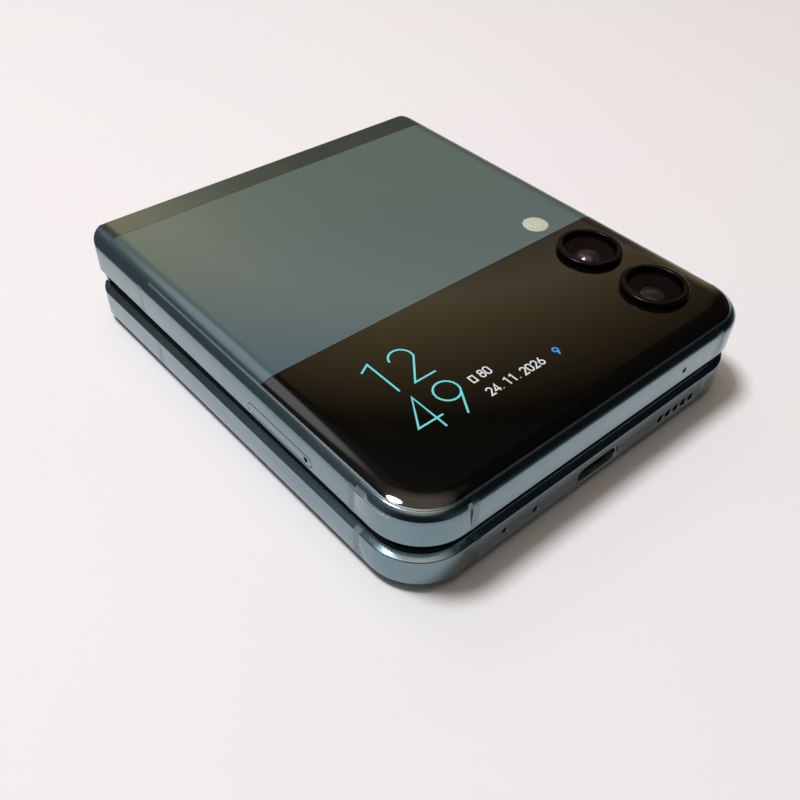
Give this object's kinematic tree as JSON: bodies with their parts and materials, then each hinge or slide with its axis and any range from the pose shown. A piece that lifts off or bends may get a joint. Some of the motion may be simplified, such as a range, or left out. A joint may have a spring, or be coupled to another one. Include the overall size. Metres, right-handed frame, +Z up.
{
  "type": "foldable smartphone",
  "caption": "Clamshell folding smartphone, stored closed, with a two-axis hinge rail, side keys, a card tray and an outer cover screen beside two lenses.",
  "frame": {"origin": "middle of the closed telephone's outline, on the surface it lies on", "axes": "+X to the right with the cover screen up and the hinge away, +Y towards the hinge, +Z up through the cover screen"},
  "size_m": [0.0725, 0.0865, 0.0174],
  "materials": {
    "rail_metal": "satin anodised, dark green",
    "band_polymer": "satin polymer in the rail's colour",
    "tinted_glass": "frosted tinted glass over a green-grey coating",
    "black_glass": "polished black glass",
    "rim_polymer": "fine matt",
    "display_face": "glossy protective film over the dark display",
    "soft_pad": "matt",
    "steel_sheet": "brushed",
    "hinge_steel": "satin",
    "battery_wrap": "satin wrap",
    "ferrite": "matt",
    "copper": "enamelled copper",
    "circuit_board": "solder mask",
    "socket_metal": "satin",
    "black_plastic": "moulded",
    "screw_steel": "bright",
    "lens_metal": "dark polished rim",
    "clear_lens": "coated clear glass",
    "lamp_lens": "cream diffuser",
    "gold_contact": "plated",
    "key_metal": "satin anodised"
  },
  "bodies": {
    "lower_half": {"lower_frame": "rail_metal", "lower_back_glass": "tinted_glass", "lower_antenna_bands": "band_polymer", "lower_display_rim": "rim_polymer", "lower_display_panel": "display_face", "lower_backing_plate": "steel_sheet", "closing_pads": "soft_pad", "lower_battery": "battery_wrap", "coil_shield_sheet": "ferrite", "charging_coil": "copper", "lower_circuit_board": "circuit_board", "charging_socket": "socket_metal", "loudspeaker": "black_plastic", "lower_microphone": "gold_contact", "vibration_motor": "steel_sheet", "lower_inner_cover": "black_plastic", "lower_cover_screws": "screw_steel", "lower_hinge_sliders": "hinge_steel", "lower_hinge_screws": "screw_steel"},
    "hinge_rail": {"hinge_spine": "rail_metal", "hinge_guide_left": "hinge_steel", "hinge_guide_right": "hinge_steel", "hinge_guide_screws": "screw_steel", "display_fold": "display_face", "hinge_ribbon_cable": "copper"},
    "upper_half": {"upper_frame": "rail_metal", "tinted_back_glass": "tinted_glass", "cover_screen_glass": "black_glass", "upper_antenna_bands": "band_polymer", "upper_display_rim": "rim_polymer", "upper_display_panel": "display_face", "upper_backing_plate": "steel_sheet", "upper_battery": "battery_wrap", "main_circuit_board": "circuit_board", "board_shields": "steel_sheet", "cover_screen": "display_face", "upper_inner_cover": "black_plastic", "upper_cover_screws": "screw_steel", "wide_camera": "black_plastic", "ultra_wide_camera": "black_plastic", "wide_lens_ring": "lens_metal", "ultra_wide_lens_ring": "lens_metal", "wide_lens_glass": "clear_lens", "ultra_wide_lens_glass": "clear_lens", "lamp": "lamp_lens", "inner_camera": "black_plastic", "earpiece": "black_plastic", "card_reader": "steel_sheet", "key_bracket": "steel_sheet", "key_switches": "gold_contact", "upper_hinge_sliders": "hinge_steel", "upper_hinge_screws": "screw_steel"},
    "card_tray": {"card_tray": "key_metal", "memory_card": "gold_contact"},
    "volume_key": {"volume_key": "key_metal"},
    "power_key": {"power_key": "key_metal"}
  },
  "joints": [
    {"name": "lower_hinge", "type": "hinge", "parent": "lower_half", "child": "hinge_rail", "pos_m": [0, 0.03815, 0.0069], "axis": [-1, 0, 0], "range_deg": [0, 90.42], "deforming": ["display_fold", "hinge_ribbon_cable"]},
    {"name": "upper_hinge", "type": "hinge", "parent": "hinge_rail", "child": "upper_half", "pos_m": [0, 0.03813, 0.0102], "axis": [-1, 0, 0], "range_deg": [0, 90.42]},
    {"name": "card_tray_slide", "type": "slide", "parent": "upper_half", "child": "card_tray", "axis": [-1, 0, 0], "range_m": [0, 0.0095]},
    {"name": "volume_key_press", "type": "slide", "parent": "upper_half", "child": "volume_key", "axis": [-1, 0, 0], "range_m": [0, 0.00025], "stiffness_N_per_m": 400},
    {"name": "power_key_press", "type": "slide", "parent": "upper_half", "child": "power_key", "axis": [-1, 0, 0], "range_m": [0, 0.00025], "stiffness_N_per_m": 400}
  ],
  "couplings": [
    {"joint": "upper_hinge", "follows": "lower_hinge", "ratio": 1}
  ]
}
